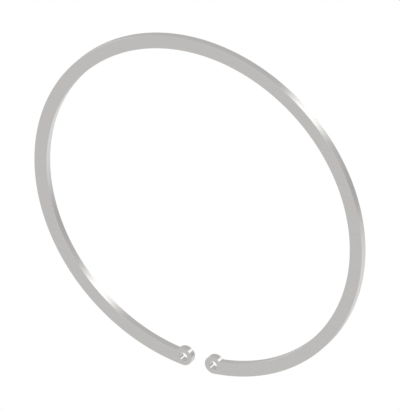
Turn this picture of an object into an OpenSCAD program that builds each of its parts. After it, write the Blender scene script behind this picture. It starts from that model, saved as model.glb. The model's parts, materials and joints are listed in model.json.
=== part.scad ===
// Internal circlip: a flat ring of spring strip that holds a bearing or cover in a housing bore.
// The ring lies on the XY plane with its axis on Z, and its gap is at -Y.

/* [Ring] */
// Diameter over the rim, which seats in the groove
ring_d = 120.4; // [80:0.1:200]
// Radial width of the band, the same all the way round
band_w = 4.5; // [3:0.1:5.6]
// Thickness of the spring strip
strip_t = 2.5; // [1.5:0.1:4]

/* [Lugs] */
// Diameter of the round eye at each end
eye_d = 6; // [5:0.1:10]
// Diameter of the plier hole through each eye
hole_d = 2.9; // [1.5:0.1:4]
// Clear gap between the two eyes
gap_w = 4.9; // [1:0.1:20]
// Radius in the corner where an eye leaves the band
root_r = 0.8; // [0.2:0.1:1.5]

/* [Edges] */
// Radius to which tumbling has worn every edge
edge_r = 0.15; // [0.05:0.05:0.4]

/* [Hidden] */

// Fineness of the large rounds and of the small rounded edges
$fn = 180;
edge_fn = 24;

// How far a cutter runs past the face that it cuts
overrun = 1;

rim_r = ring_d / 2;
inner_r = rim_r - band_w;
hole_r = hole_d / 2;

// An eye touches the rim from inside, so the rim runs into it without a step
eye_r = eye_d / 2;
eye_orbit = rim_r - eye_r;
eye_angle = asin((gap_w / 2 + eye_r) / eye_orbit);

// The root's arc dips this far into the eye and the band, so that it meets each wall in one clean edge
root_bite = 0.03;

// The arc's centre lies in the bore, at these distances from the centres of the ring and of the eye
root_from_ring = inner_r - root_r + root_bite;
root_from_eye = eye_r + root_r - root_bite;
root_angle = acos(
    (eye_orbit ^ 2 + root_from_ring ^ 2 - root_from_eye ^ 2) / (2 * eye_orbit * root_from_ring)
);
root_centre = root_from_ring * [cos(root_angle), sin(root_angle)];

// The root's fan opens from the eye's centre round to the band, and ends inside both
root_start = atan2(-root_centre.y, eye_orbit - root_centre.x);
root_depth = min(band_w, eye_d) / 2;

// Section of the strip between two radii, standing on the X axis, with its four edges rounded
module strip_section(from_r, to_r) {
    translate([from_r + edge_r, 0]) square([to_r - from_r - 2 * edge_r, strip_t]);
    translate([from_r, edge_r]) square([to_r - from_r, strip_t - 2 * edge_r]);
    for (r = [from_r + edge_r, to_r - edge_r], z = [edge_r, strip_t - edge_r])
        translate([r, z]) circle(edge_r, $fn = edge_fn);
}

// Carries what is drawn with an eye's centre on the X axis to both ends of the ring
module at_both_ends() {
    rotate(-90 + eye_angle) children();
    mirror([1, 0, 0]) rotate(-90 + eye_angle) children();
}

// The band, from the centre line of one eye round to that of the other
module band() {
    rotate(-90 + eye_angle)
        rotate_extrude(angle = 360 - 2 * eye_angle) strip_section(inner_r, rim_r);
}

// A round disc of the same strip, before it is drilled
module eye() {
    translate([eye_orbit, 0, 0]) rotate_extrude() intersection() {
        strip_section(-eye_r, eye_r);
        square([eye_r, strip_t]);
    }
}

// The filled corner between the eye and the band's inner wall
module eye_root() {
    translate(root_centre)
        rotate_extrude(start = root_start, angle = root_angle - root_start)
            strip_section(root_r, root_r + root_depth);
}

// What the plier hole takes away, with its two mouths rounded
module plier_hole() {
    translate([eye_orbit, 0, 0]) rotate_extrude() difference() {
        translate([0, -overrun]) square([hole_r + edge_r, strip_t + 2 * overrun]);
        strip_section(hole_r, hole_r + band_w);
    }
}

module retaining_ring() {
    color("#bcbab8") difference() {
        union() {
            band();
            at_both_ends() {
                eye();
                eye_root();
            }
        }
        at_both_ends() plier_hole();
    }
}

retaining_ring();
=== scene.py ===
import json
from math import acos, atan2, copysign, cos, hypot, pi, radians, sin

import bpy
from mathutils import Matrix, Vector
from mathutils.geometry import tessellate_polygon


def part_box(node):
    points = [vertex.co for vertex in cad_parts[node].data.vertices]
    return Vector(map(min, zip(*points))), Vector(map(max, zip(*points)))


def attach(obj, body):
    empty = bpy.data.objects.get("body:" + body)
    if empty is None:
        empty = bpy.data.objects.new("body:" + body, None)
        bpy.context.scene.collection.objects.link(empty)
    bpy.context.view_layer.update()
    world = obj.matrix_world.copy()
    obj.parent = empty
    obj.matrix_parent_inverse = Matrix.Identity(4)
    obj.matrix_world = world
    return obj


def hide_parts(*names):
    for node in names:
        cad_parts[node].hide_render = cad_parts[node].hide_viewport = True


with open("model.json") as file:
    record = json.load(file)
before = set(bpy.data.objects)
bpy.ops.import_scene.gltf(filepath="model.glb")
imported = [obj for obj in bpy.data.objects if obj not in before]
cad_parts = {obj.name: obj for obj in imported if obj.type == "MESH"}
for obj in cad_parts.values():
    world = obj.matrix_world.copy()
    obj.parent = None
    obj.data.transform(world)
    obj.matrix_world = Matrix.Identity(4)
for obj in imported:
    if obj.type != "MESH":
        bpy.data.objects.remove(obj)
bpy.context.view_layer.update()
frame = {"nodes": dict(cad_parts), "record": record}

# An internal circlip of tumbled spring steel, which lies on plain white
MM = 0.001


# The ring's sizes, read from the frame, apart from the radius of its roots, which the frame doesn't name
ring_solid = frame["nodes"]["retaining_ring"]
mounts = {mount["name"]: mount for mount in frame["record"]["mounts"]}
low_corner, high_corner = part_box("retaining_ring")
strip_t = high_corner.z - low_corner.z
rim_r = mounts["rim"]["dims"]["r_mm"] * MM
# In the half without the eyes, the solid's points nearest to its axis are on the inner wall
inner_r = min(hypot(v.co.x, v.co.y) for v in ring_solid.data.vertices if v.co.y > 0)
# The rim's mount is as long as its wall is high, between the two rounded edges
edge_r = (strip_t - mounts["rim"]["dims"]["length_mm"] * MM) / 2
hole_r = mounts["plier_hole_right"]["dims"]["r_mm"] * MM
right_eye = Vector(mounts["plier_hole_right"]["pos_m"][:2])
left_eye = Vector(mounts["plier_hole_left"]["pos_m"][:2])
# An eye touches the rim from inside
eye_orbit = right_eye.length
eye_r = rim_r - eye_orbit
root_r = 0.8 * MM


# Camera. The rim's radius, and how far the ring's middle is to the right of the picture's and above it, are
# in pixels of a picture of this height. Angles are in degrees
PICTURE_HEIGHT = 411
RIM_R_IN_PICTURE = 189.2
RING_FROM_MIDDLE = (-2.0, -0.74)
VIEW_AZIMUTH = 49.1
VIEW_ELEVATION = 48.55
VIEW_ROLL = 229.13
CAMERA_DISTANCE = 0.6
NEAREST_SEEN = 0.01


def direction(azimuth, elevation):
    """The unit vector that points this way from the ring, with both angles in degrees."""
    around, up = radians(azimuth), radians(elevation)
    return Vector((cos(up) * cos(around), cos(up) * sin(around), sin(up)))


def add_camera():
    """A parallel view in which the ring's upper face has the photograph's place, size and turn."""
    pixel = rim_r / RIM_R_IN_PICTURE
    back = direction(VIEW_AZIMUTH, VIEW_ELEVATION)
    roll = Matrix.Rotation(radians(VIEW_ROLL), 3, "Z")
    turn = back.to_track_quat("Z", "Y").to_matrix() @ roll
    aside = turn @ Vector((*RING_FROM_MIDDLE, 0)) * pixel
    data = bpy.data.cameras.new("view")
    data.type = "ORTHO"
    data.ortho_scale = PICTURE_HEIGHT * pixel
    data.clip_start = NEAREST_SEEN
    camera = bpy.data.objects.new("view", data)
    place = Vector((0, 0, strip_t)) - aside + back * CAMERA_DISTANCE
    camera.matrix_world = Matrix.Translation(place) @ turn.to_4x4()
    bpy.context.scene.collection.objects.link(camera)
    bpy.context.scene.camera = camera


# Helpers for node trees
def add(tree, kind, inputs=None, **settings):
    """Adds a node. An input takes a value, or a link where it is given another node's socket."""
    node = tree.nodes.new(kind)
    for name, value in settings.items():
        setattr(node, name, value)
    for name, value in (inputs or {}).items():
        if isinstance(value, bpy.types.NodeSocket):
            tree.links.new(value, node.inputs[name])
        else:
            node.inputs[name].default_value = value
    return node


def calc(tree, operation, *values):
    """The outcome of one operation on values or sockets."""
    return add(tree, "ShaderNodeMath", dict(enumerate(values)), operation=operation).outputs[0]


def fade(tree, value, start, end, low=0.0, high=1.0):
    """Goes smoothly from low to high as the value goes from start to end."""
    inputs = {"Value": value, "From Min": start, "From Max": end, "To Min": low, "To Max": high}
    return add(tree, "ShaderNodeMapRange", inputs, interpolation_type="SMOOTHSTEP").outputs[0]


def mix(tree, amount, first, second):
    """A value that goes from the first to the second as the amount goes from 0 to 1."""
    inputs = {"Factor": amount, "A": first, "B": second}
    return add(tree, "ShaderNodeMix", inputs, data_type="FLOAT").outputs["Result"]


def blend(tree, amount, first, second):
    """A colour that goes from the first to the second in the same way.

    The node's colour sockets share their names with its other sockets, so they are given by number.
    """
    inputs = {"Factor": amount, 6: first, 7: second}
    return add(tree, "ShaderNodeMix", inputs, data_type="RGBA").outputs[2]


# Studio light, which the metal mirrors: a surround that changes with height, and tall soft panels below the
# horizon, where the ring's walls mirror them. Angles are in degrees
WHITE = (1, 1, 1, 1)
BLACK = (0, 0, 0, 1)
BACKDROP = 1.0
FLOOR_SIZE = 8.0
SURROUND = [
    # height of the direction, from -1 straight down to 1 straight up, and the light there
    (-0.75, 0.63),
    (-0.4, 0.50),
    (0.0, 0.62),
    (0.5, 0.70),
    (0.75, 0.664),
    (1.0, 0.78),
]
PANELS = {
    # azimuth, half width where full and where gone, lowest and highest elevation, and the light that it adds
    "key strip": (48, 1.5, 24.5, -75, -3, 0.92),
    "fill panel": (-69, 15, 62, -75, -3, 0.26),
    "dark flag": (-8, 6, 24, -75, -3, -0.09),
    "back strip": (165, 3, 24, -19, -3, 0.80),
    "side panel": (-150, 10, 40, -19, -3, 0.30),
}
PANEL_FADE = 12


def surround(tree, height):
    """The surround's light at this height. Heights go from -1 to 1, and a ramp's stops from 0 to 1."""
    ramp = add(tree, "ShaderNodeValToRGB", {"Fac": calc(tree, "MULTIPLY_ADD", height, 0.5, 0.5)})
    ramp.color_ramp.interpolation = "EASE"
    stops = ramp.color_ramp.elements
    while len(stops) < len(SURROUND):
        stops.new(1)
    for stop, (at, light) in zip(stops, SURROUND):
        stop.position = (at + 1) / 2
        stop.color = (light, light, light, 1)
    return ramp.outputs["Color"]


def panel(tree, ray, height, azimuth, full, gone, lowest, highest, light):
    """The light that one panel adds, with soft edges."""
    flat = add(tree, "ShaderNodeVectorMath", {0: ray, 1: (1, 1, 0)}, operation="MULTIPLY").outputs[0]
    level = add(tree, "ShaderNodeVectorMath", {0: flat}, operation="NORMALIZE").outputs[0]
    inputs = {0: level, 1: direction(azimuth, 0)}
    towards = add(tree, "ShaderNodeVectorMath", inputs, operation="DOT_PRODUCT").outputs["Value"]
    aside = fade(tree, calc(tree, "ARCCOSINE", towards), radians(full), radians(gone), light, 0.0)
    above = fade(tree, height, sin(radians(lowest - PANEL_FADE)), sin(radians(lowest)))
    below = fade(tree, height, sin(radians(highest)), sin(radians(highest + PANEL_FADE)), 1.0, 0.0)
    return calc(tree, "MULTIPLY", aside, calc(tree, "MULTIPLY", above, below))


def add_studio():
    """The ring mirrors the surround and its panels, while the camera sees plain white behind the ring."""
    world = bpy.data.worlds.new("studio")
    bpy.context.scene.world = world
    world.use_nodes = True
    tree = world.node_tree
    tree.nodes.clear()
    ray = add(tree, "ShaderNodeTexCoord").outputs["Generated"]
    height = add(tree, "ShaderNodeSeparateXYZ", {0: ray}).outputs["Z"]
    light = surround(tree, height)
    for values in PANELS.values():
        light = calc(tree, "ADD", light, panel(tree, ray, height, *values))
    seen = add(tree, "ShaderNodeLightPath").outputs["Is Camera Ray"]
    strength = mix(tree, seen, light, BACKDROP)
    background = add(tree, "ShaderNodeBackground", {"Color": WHITE, "Strength": strength}).outputs[0]
    add(tree, "ShaderNodeOutputWorld", {"Surface": background})


def add_floor():
    """A sheet that glows evenly white, so that the ring has no shadow on it. The ring doesn't mirror it."""
    mesh = bpy.data.meshes.new("floor")
    half = FLOOR_SIZE / 2
    corners = [(-half, -half, 0), (half, -half, 0), (half, half, 0), (-half, half, 0)]
    mesh.from_pydata(corners, [], [(0, 1, 2, 3)])
    sheet = bpy.data.materials.new("lit_white_sheet")
    sheet.use_nodes = True
    shader = sheet.node_tree.nodes["Principled BSDF"]
    shader.inputs["Base Color"].default_value = BLACK
    shader.inputs["Specular IOR Level"].default_value = 0
    shader.inputs["Emission Color"].default_value = WHITE
    shader.inputs["Emission Strength"].default_value = BACKDROP
    sheet.cycles.emission_sampling = "NONE"
    mesh.materials.append(sheet)
    floor = bpy.data.objects.new("floor", mesh)
    floor.visible_glossy = False
    bpy.context.scene.collection.objects.link(floor)


# Marks that both of the ring's finishes share, each as one group of nodes. Noise goes from 0 to 1, and mostly
# keeps to this range about its middle. Fineness is in patches a metre, or for the streaks in patches a line
NOISE_RANGE = (0.3, 0.7)
NOISE_MIDDLE = 0.5
UNEVEN_DETAIL = 3.0
STREAK_FINENESS = 0.17
STREAK_DETAIL = 1.0
LINES_IN_TONE = 0.6
SCRATCH_WIDTH = 0.05 * MM
SCRATCH_LENGTH = 1.5 * MM
SCRATCH_RARITY = 0.61
SCRATCH_SETS = [
    # slant of the scratches, and the azimuth and elevation of the axis that it turns about
    (17, 51, 60),
    (64, 192, 60),
    (108, 324, 60),
    (151, 93, 60),
]
SCRATCH_FADE = 0.06
WEAR_RANGE = (0.25, 0.95)
WEAR_FINENESS = 900.0
WEAR_UNEVENNESS = 0.5
# The edges' wear mask, which also places a painted highlight there
WEAR_AND_HIGHLIGHT_MASK = "edge_wear_and_highlight"


def new_group(name, inputs, outputs):
    """A group of shader nodes, with its input sockets given as (kind, value) and its outputs as kinds."""
    group = bpy.data.node_groups.new(name, "ShaderNodeTree")
    for label, (kind, value) in inputs.items():
        socket = group.interface.new_socket(label, in_out="INPUT", socket_type="NodeSocket" + kind)
        socket.default_value = value
    for label, kind in outputs.items():
        group.interface.new_socket(label, in_out="OUTPUT", socket_type="NodeSocket" + kind)
    entry = group.nodes.new("NodeGroupInput")
    leave = group.nodes.new("NodeGroupOutput")
    return group, entry.outputs, leave.inputs


def noise(tree, place, fineness=1.0, detail=0.0):
    """Noise over this place, in patches that are smaller as it is finer."""
    inputs = {"Vector": place, "Scale": fineness, "Detail": detail}
    return add(tree, "ShaderNodeTexNoise", inputs).outputs["Fac"]


def grain_group():
    """Fine lines and broader streaks that all run one way. Pitch is the lines' spacing along each axis."""
    group, given, result = new_group(
        "steel_grain",
        {"Pitch": ("Vector", (1, 1, 1)), "Detail": ("Float", UNEVEN_DETAIL)},
        {"Height": "Float", "Tone": "Float"},
    )
    place = add(group, "ShaderNodeTexCoord").outputs["Object"]
    inputs = {0: place, 1: given["Pitch"]}
    lines = add(group, "ShaderNodeVectorMath", inputs, operation="DIVIDE").outputs[0]
    height = noise(group, lines, detail=given["Detail"])
    streaks = noise(group, lines, STREAK_FINENESS, STREAK_DETAIL)
    line_tone = fade(group, height, *NOISE_RANGE)
    streak_tone = fade(group, streaks, *NOISE_RANGE)
    group.links.new(height, result["Height"])
    group.links.new(mix(group, LINES_IN_TONE, streak_tone, line_tone), result["Tone"])
    return group


def scratch_group():
    """Short fine scratches from tumbling, at several slants. There is one where noise is above the rarity."""
    group, given, result = new_group(
        "tumbling_scratches",
        {
            "Width": ("Float", SCRATCH_WIDTH),
            "Length": ("Float", SCRATCH_LENGTH),
            "Rarity": ("Float", SCRATCH_RARITY),
        },
        {"Depth": "Float"},
    )
    place = add(group, "ShaderNodeTexCoord").outputs["Object"]
    sizes = {"X": given["Length"], "Y": given["Width"], "Z": given["Width"]}
    size = add(group, "ShaderNodeCombineXYZ", sizes).outputs[0]
    deepest = 0.0
    for slant, azimuth, elevation in SCRATCH_SETS:
        inputs = {"Vector": place, "Angle": radians(slant), "Axis": direction(azimuth, elevation)}
        turned = add(group, "ShaderNodeVectorRotate", inputs).outputs[0]
        inputs = {0: turned, 1: size}
        stretched = add(group, "ShaderNodeVectorMath", inputs, operation="DIVIDE").outputs[0]
        above = calc(group, "SUBTRACT", noise(group, stretched), given["Rarity"])
        deepest = calc(group, "MAXIMUM", deepest, fade(group, above, 0.0, SCRATCH_FADE))
    group.links.new(deepest, result["Depth"])
    return group


def wear_and_highlight_group():
    """How far tumbling has worn the steel near its edges, a little unevenly. The same mask lightens the tint
    there as a painted highlight.
    """
    group, given, result = new_group(
        "edge_wear_and_highlight",
        {"Unevenness": ("Float", WEAR_UNEVENNESS)},
        {"Worn and highlit": "Float"},
    )
    worn_and_highlit = add(group, "ShaderNodeAttribute", attribute_name=WEAR_AND_HIGHLIGHT_MASK).outputs["Fac"]
    place = add(group, "ShaderNodeTexCoord").outputs["Object"]
    patches = noise(group, place, WEAR_FINENESS, UNEVEN_DETAIL)
    patches = calc(group, "SUBTRACT", patches, NOISE_MIDDLE)
    uneven = calc(group, "MULTIPLY_ADD", patches, given["Unevenness"], worn_and_highlit)
    group.links.new(fade(group, uneven, *WEAR_RANGE), result["Worn and highlit"])
    return group


# The ring's two finishes. A tint is what the steel mirrors of white light. Each finish has the spacing of its
# lines along each axis, and its roughness down in a line and up between two
BRIGHT_TINT = (0.775, 0.757, 0.740, 1)
DULL_TINT = (0.705, 0.687, 0.670, 1)
TORN_TINT = (0.725, 0.707, 0.690, 1)
# The worn edges' lighter tint is partly bare steel and partly a painted highlight
WORN_HIGHLIGHT_TINT = (0.770, 0.752, 0.736, 1)
LINE_SPACING = 0.06 * MM
LINE_LENGTH = 6 * MM
# The flat faces, which keep the grain of the rolled strip along X
ROLLED = {
    "pitch": (LINE_LENGTH, LINE_SPACING, LINE_SPACING),
    "roughness": (0.20, 0.27),
    "worn_roughness": 0.18,
    "line_depth": 0.0006 * MM,
    "scratch_rarity": SCRATCH_RARITY,
    "scratch_depth": 0.0010 * MM,
    "wear_unevenness": WEAR_UNEVENNESS,
}
# The walls and edges, with the press's lines straight down them
SHEARED = {
    "pitch": (LINE_SPACING, LINE_SPACING, LINE_LENGTH),
    "roughness": (0.12, 0.17),
    "worn_roughness": 0.16,
    "line_depth": 0.0004 * MM,
    "scratch_rarity": 0.62,
    "scratch_depth": 0.0008 * MM,
    "wear_unevenness": 0.4,
}
# How far a scratch shines like an edge that is worn bare, whose lighter tint is partly a painted highlight
SCRATCH_SHINE = 0.7
# The press burnishes a wall down to this height and tears the rest, which is rougher and has an uneven border
TEAR_TOP = 1.55 * MM
TEAR_FADE = 0.10 * MM
TEAR_SWAY = 0.5 * MM
TEAR_FINENESS = 500.0
TORN_EXTRA_ROUGHNESS = 0.08


def torn_wall(tree):
    """Where the press tore the wall, below the band that it burnished."""
    place = add(tree, "ShaderNodeTexCoord").outputs["Object"]
    height = add(tree, "ShaderNodeSeparateXYZ", {0: place}).outputs["Z"]
    sway = noise(tree, place, TEAR_FINENESS, UNEVEN_DETAIL)
    sway = calc(tree, "SUBTRACT", sway, NOISE_MIDDLE)
    level = calc(tree, "MULTIPLY_ADD", sway, TEAR_SWAY, height)
    return fade(tree, level, TEAR_TOP - TEAR_FADE, TEAR_TOP + TEAR_FADE, 1.0, 0.0)


def steel(name, groups, finish, cut_by_press):
    """Spring steel with this finish. Where the press has torn it, it is duller and rougher."""
    material = bpy.data.materials.new(name)
    material.use_nodes = True
    tree = material.node_tree
    grain = add(tree, "ShaderNodeGroup", node_tree=groups["grain"])
    grain.inputs["Pitch"].default_value = finish["pitch"]
    scratches = add(tree, "ShaderNodeGroup", node_tree=groups["scratches"])
    scratches.inputs["Rarity"].default_value = finish["scratch_rarity"]
    wear = add(tree, "ShaderNodeGroup", node_tree=groups["wear"])
    wear.inputs["Unevenness"].default_value = finish["wear_unevenness"]
    height, cuts, worn_and_highlit = grain.outputs["Height"], scratches.outputs["Depth"], wear.outputs["Worn and highlit"]

    tint = blend(tree, grain.outputs["Tone"], DULL_TINT, BRIGHT_TINT)
    roughness = fade(tree, height, *NOISE_RANGE, *finish["roughness"])
    if cut_by_press:
        torn = torn_wall(tree)
        tint = blend(tree, torn, tint, TORN_TINT)
        roughness = calc(tree, "MULTIPLY_ADD", torn, TORN_EXTRA_ROUGHNESS, roughness)
    # Worn edges and scratches take the lighter tint, partly as bare steel and partly as a painted highlight
    bare_and_highlit = calc(tree, "MAXIMUM", worn_and_highlit, calc(tree, "MULTIPLY", cuts, SCRATCH_SHINE))
    tint = blend(tree, bare_and_highlit, tint, WORN_HIGHLIGHT_TINT)
    roughness = mix(tree, worn_and_highlit, roughness, finish["worn_roughness"])

    # The relief is in metres, which the bump keeps with a distance of 1
    lines = calc(tree, "MULTIPLY", height, finish["line_depth"])
    relief = calc(tree, "MULTIPLY_ADD", cuts, -finish["scratch_depth"], lines)
    bump = add(tree, "ShaderNodeBump", {"Height": relief, "Distance": 1.0}).outputs["Normal"]
    shader = tree.nodes["Principled BSDF"]
    shader.inputs["Metallic"].default_value = 1
    tree.links.new(tint, shader.inputs["Base Color"])
    tree.links.new(roughness, shader.inputs["Roughness"])
    tree.links.new(bump, shader.inputs["Normal"])
    return material


# The ring. An outline is a list of points on arcs, with the metal on its left. A point has its arc's centre
# and radius, which is negative where the metal is outside the arc, and its angle
RIM_STEP = radians(1)
EYE_STEP = radians(5)
ROOT_STEP = radians(10)
EDGE_STEPS = 5
WEAR_REACH = 0.5 * MM
# The two finishes' places in the mesh's list of materials
FLAT = 0
WALL = 1


def arc(centre, radius, start, end, step):
    """The arc's points from its start, up to where the next arc takes over."""
    count = round(abs(end - start) / step)
    return [(centre, radius, start + (end - start) * i / count) for i in range(count)]


def ring_outline():
    """The rim, round the left eye, its root, the inner wall, the right root and round the right eye.

    Whole turns are added to some angles, so that each arc runs the right way from its start to its end.
    """
    from_ring = inner_r - root_r
    from_eye = eye_r + root_r
    spread = acos((eye_orbit**2 + from_ring**2 - from_eye**2) / (2 * eye_orbit * from_ring))
    middle = Vector((0, 0))
    eye_angle = atan2(right_eye.y, right_eye.x)
    root_angle = eye_angle + spread
    right_root = Vector((cos(root_angle), sin(root_angle))) * from_ring
    left_root = Vector((-right_root.x, right_root.y))
    touch = atan2(right_root.y - right_eye.y, right_root.x - right_eye.x)
    return (
        arc(middle, rim_r, eye_angle, pi - eye_angle, RIM_STEP)
        + arc(left_eye, eye_r, pi - eye_angle, 3 * pi - touch, EYE_STEP)
        + arc(left_root, -root_r, -touch, -pi - root_angle, ROOT_STEP)
        + arc(middle, -inner_r, pi - root_angle, root_angle, RIM_STEP)
        + arc(right_root, -root_r, root_angle, touch - pi, ROOT_STEP)
        + arc(right_eye, eye_r, touch - 2 * pi, eye_angle, EYE_STEP)
    )


def hole_outline(centre):
    """A plier hole, clockwise, so that the metal is on its left."""
    return arc(centre, -hole_r, 2 * pi, 0, EYE_STEP)


def outward(point):
    """The direction straight out of the metal."""
    _, radius, angle = point
    return Vector((cos(angle), sin(angle))) * copysign(1, radius)


def inset(point, depth):
    """The point's place once it has moved this far into the metal."""
    centre, radius, angle = point
    return centre + Vector((cos(angle), sin(angle))) * abs(radius) - outward(point) * depth


def section_rows():
    """The rows of points from the top face, over the edge and down the wall, and on to the underside.

    Each has its depth into the metal, its height, the tilt of its normal, and its wear, which also places a
    painted highlight.
    """
    rows = [(WEAR_REACH, strip_t, pi / 2, 0)]
    for i in range(EDGE_STEPS + 1):
        tilt = pi / 2 * (1 - i / EDGE_STEPS)
        rows.append((edge_r * (1 - cos(tilt)), strip_t - edge_r * (1 - sin(tilt)), tilt, 1))
    rows.append((0, strip_t - edge_r - WEAR_REACH, 0, 0))
    below = [(depth, strip_t - height, -tilt, wear) for depth, height, tilt, wear in reversed(rows)]
    return rows + below


def flat_triangles(outlines):
    """Triangles that fill a flat face between the outlines, with their corners anticlockwise from above."""
    borders = [[Vector((*inset(point, WEAR_REACH), 0)) for point in outline] for outline in outlines]
    places = [place for border in borders for place in border]
    triangles = []
    for corners in tessellate_polygon(borders):
        a, b, c = (places[i] for i in corners)
        clockwise = (b - a).cross(c - a).z < 0
        triangles.append(corners[::-1] if clockwise else corners)
    return triangles


def ring_mesh(flat_finish, wall_finish):
    """One closed mesh, in which the rounded edges have the walls' finish."""
    outlines = [ring_outline(), hole_outline(right_eye), hole_outline(left_eye)]
    rows = section_rows()
    points, normals, wear = [], [], []
    faces, finish_of_face = [], []
    top, underside = [], []
    for outline in outlines:
        size = len(outline)
        start = len(points)
        for depth, height, tilt, worn_and_highlit in rows:
            points += [(*inset(point, depth), height) for point in outline]
            normals += [(*(outward(point) * cos(tilt)), sin(tilt)) for point in outline]
            wear += [worn_and_highlit] * size
        for row in range(len(rows) - 1):
            upper = start + row * size
            for i in range(size):
                j = (i + 1) % size
                faces.append((upper + i, upper + size + i, upper + size + j, upper + j))
            on_a_flat = row in (0, len(rows) - 2)
            finish_of_face += [FLAT if on_a_flat else WALL] * size
        top += range(start, start + size)
        underside += range(len(points) - size, len(points))
    for corners in flat_triangles(outlines):
        faces.append([top[i] for i in corners])
        faces.append([underside[i] for i in reversed(corners)])
        finish_of_face += [FLAT, FLAT]
    mesh = bpy.data.meshes.new("ring")
    mesh.from_pydata(points, [], faces)
    mesh.attributes.new(WEAR_AND_HIGHLIGHT_MASK, "FLOAT", "POINT").data.foreach_set("value", wear)
    mesh.materials.append(flat_finish)
    mesh.materials.append(wall_finish)
    mesh.polygons.foreach_set("material_index", finish_of_face)
    mesh.shade_smooth()
    mesh.normals_split_custom_set_from_vertices(normals)
    return mesh


def add_ring():
    """The ring with its finishes, in place of the plain solid."""
    groups = {"grain": grain_group(), "scratches": scratch_group(), "wear": wear_and_highlight_group()}
    flat_finish = steel("rolled_steel", groups, ROLLED, cut_by_press=False)
    wall_finish = steel("sheared_steel", groups, SHEARED, cut_by_press=True)
    ring = bpy.data.objects.new("finished_ring", ring_mesh(flat_finish, wall_finish))
    bpy.context.scene.collection.objects.link(ring)
    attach(ring, "root")
    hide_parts("retaining_ring")


add_camera()
add_studio()
add_floor()
add_ring()
bpy.context.scene.view_settings.view_transform = "Standard"
